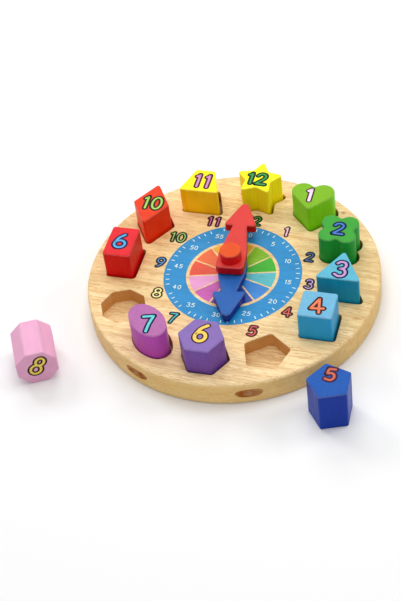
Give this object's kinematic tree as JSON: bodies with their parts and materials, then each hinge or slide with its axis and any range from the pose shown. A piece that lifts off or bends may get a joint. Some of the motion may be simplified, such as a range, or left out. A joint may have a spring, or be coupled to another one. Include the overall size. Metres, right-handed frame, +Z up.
{
  "type": "wooden teaching clock",
  "caption": "Round wooden clock board with lift-out number blocks in shaped recesses and arrow hands that turn on a central spindle.",
  "frame": {"origin": "centre of the clock board's flat underside, on the spindle's axis", "axes": "+Z up out of the dial, +Y towards twelve o'clock, +X towards three o'clock"},
  "size_m": [0.2923, 0.2598, 0.0513],
  "materials": {
    "board_wood": "satin clear-lacquered rubberwood with a printed dial",
    "spindle_wood": "sanded beech dowel",
    "blue_hand_paint": "satin blue paint on wood",
    "red_hand_paint": "satin red paint on wood",
    "knob_paint": "satin orange-red paint on wood",
    "washer_plastic": "dark grey plastic, punched from thin sheet",
    "heart_paint": "satin yellow-green paint on wood",
    "clover_paint": "satin green paint on wood",
    "triangle_paint": "satin teal paint on wood",
    "square_paint": "satin sky-blue paint on wood",
    "pentagon_paint": "satin dark-blue paint on wood",
    "hexagon_paint": "satin purple paint on wood",
    "oval_paint": "satin violet paint on wood",
    "octagon_paint": "satin pink paint on wood",
    "rectangle_paint": "satin crimson paint on wood",
    "rhombus_paint": "satin orange-red paint on wood",
    "trapezoid_paint": "satin golden-yellow paint on wood",
    "star_paint": "satin yellow paint on wood"
  },
  "bodies": {
    "board": {"clock_board": "board_wood", "spindle": "spindle_wood", "knob": "knob_paint", "hour_hand_washer": "washer_plastic", "minute_hand_washer": "washer_plastic"},
    "hour_hand": {"hour_hand": "blue_hand_paint"},
    "minute_hand": {"minute_hand": "red_hand_paint"},
    "block_01_heart": {"block_01_heart": "heart_paint"},
    "block_02_clover": {"block_02_clover": "clover_paint"},
    "block_03_triangle": {"block_03_triangle": "triangle_paint"},
    "block_04_square": {"block_04_square": "square_paint"},
    "block_05_pentagon": {"block_05_pentagon": "pentagon_paint"},
    "block_06_hexagon": {"block_06_hexagon": "hexagon_paint"},
    "block_07_oval": {"block_07_oval": "oval_paint"},
    "block_08_octagon": {"block_08_octagon": "octagon_paint"},
    "block_09_rectangle": {"block_09_rectangle": "rectangle_paint"},
    "block_10_rhombus": {"block_10_rhombus": "rhombus_paint"},
    "block_11_trapezoid": {"block_11_trapezoid": "trapezoid_paint"},
    "block_12_star": {"block_12_star": "star_paint"}
  },
  "joints": [
    {"name": "hour_hand_turn", "type": "hinge", "parent": "board", "child": "hour_hand", "pos_m": [0, 0, 0.02805], "axis": [0, 0, -1], "continuous": true},
    {"name": "minute_hand_turn", "type": "hinge", "parent": "board", "child": "minute_hand", "pos_m": [0, 0, 0.03735], "axis": [0, 0, -1], "continuous": true},
    {"name": "heart_lift", "type": "slide", "parent": "board", "child": "block_01_heart", "axis": [0, 0, 1], "range_m": [0, 0.045]},
    {"name": "clover_lift", "type": "slide", "parent": "board", "child": "block_02_clover", "axis": [0, 0, 1], "range_m": [0, 0.045]},
    {"name": "triangle_lift", "type": "slide", "parent": "board", "child": "block_03_triangle", "axis": [0, 0, 1], "range_m": [0, 0.045]},
    {"name": "square_lift", "type": "slide", "parent": "board", "child": "block_04_square", "axis": [0, 0, 1], "range_m": [0, 0.045]},
    {"name": "pentagon_lift", "type": "slide", "parent": "board", "child": "block_05_pentagon", "axis": [0, 0, 1], "range_m": [0, 0.055]},
    {"name": "hexagon_lift", "type": "slide", "parent": "board", "child": "block_06_hexagon", "axis": [0, 0, 1], "range_m": [0, 0.045]},
    {"name": "oval_lift", "type": "slide", "parent": "board", "child": "block_07_oval", "axis": [0, 0, 1], "range_m": [0, 0.045]},
    {"name": "octagon_lift", "type": "slide", "parent": "board", "child": "block_08_octagon", "axis": [0, 0, 1], "range_m": [0, 0.055]},
    {"name": "rectangle_lift", "type": "slide", "parent": "board", "child": "block_09_rectangle", "axis": [0, 0, 1], "range_m": [0, 0.045]},
    {"name": "rhombus_lift", "type": "slide", "parent": "board", "child": "block_10_rhombus", "axis": [0, 0, 1], "range_m": [0, 0.045]},
    {"name": "trapezoid_lift", "type": "slide", "parent": "board", "child": "block_11_trapezoid", "axis": [0, 0, 1], "range_m": [0, 0.045]},
    {"name": "star_lift", "type": "slide", "parent": "board", "child": "block_12_star", "axis": [0, 0, 1], "range_m": [0, 0.045]}
  ]
}
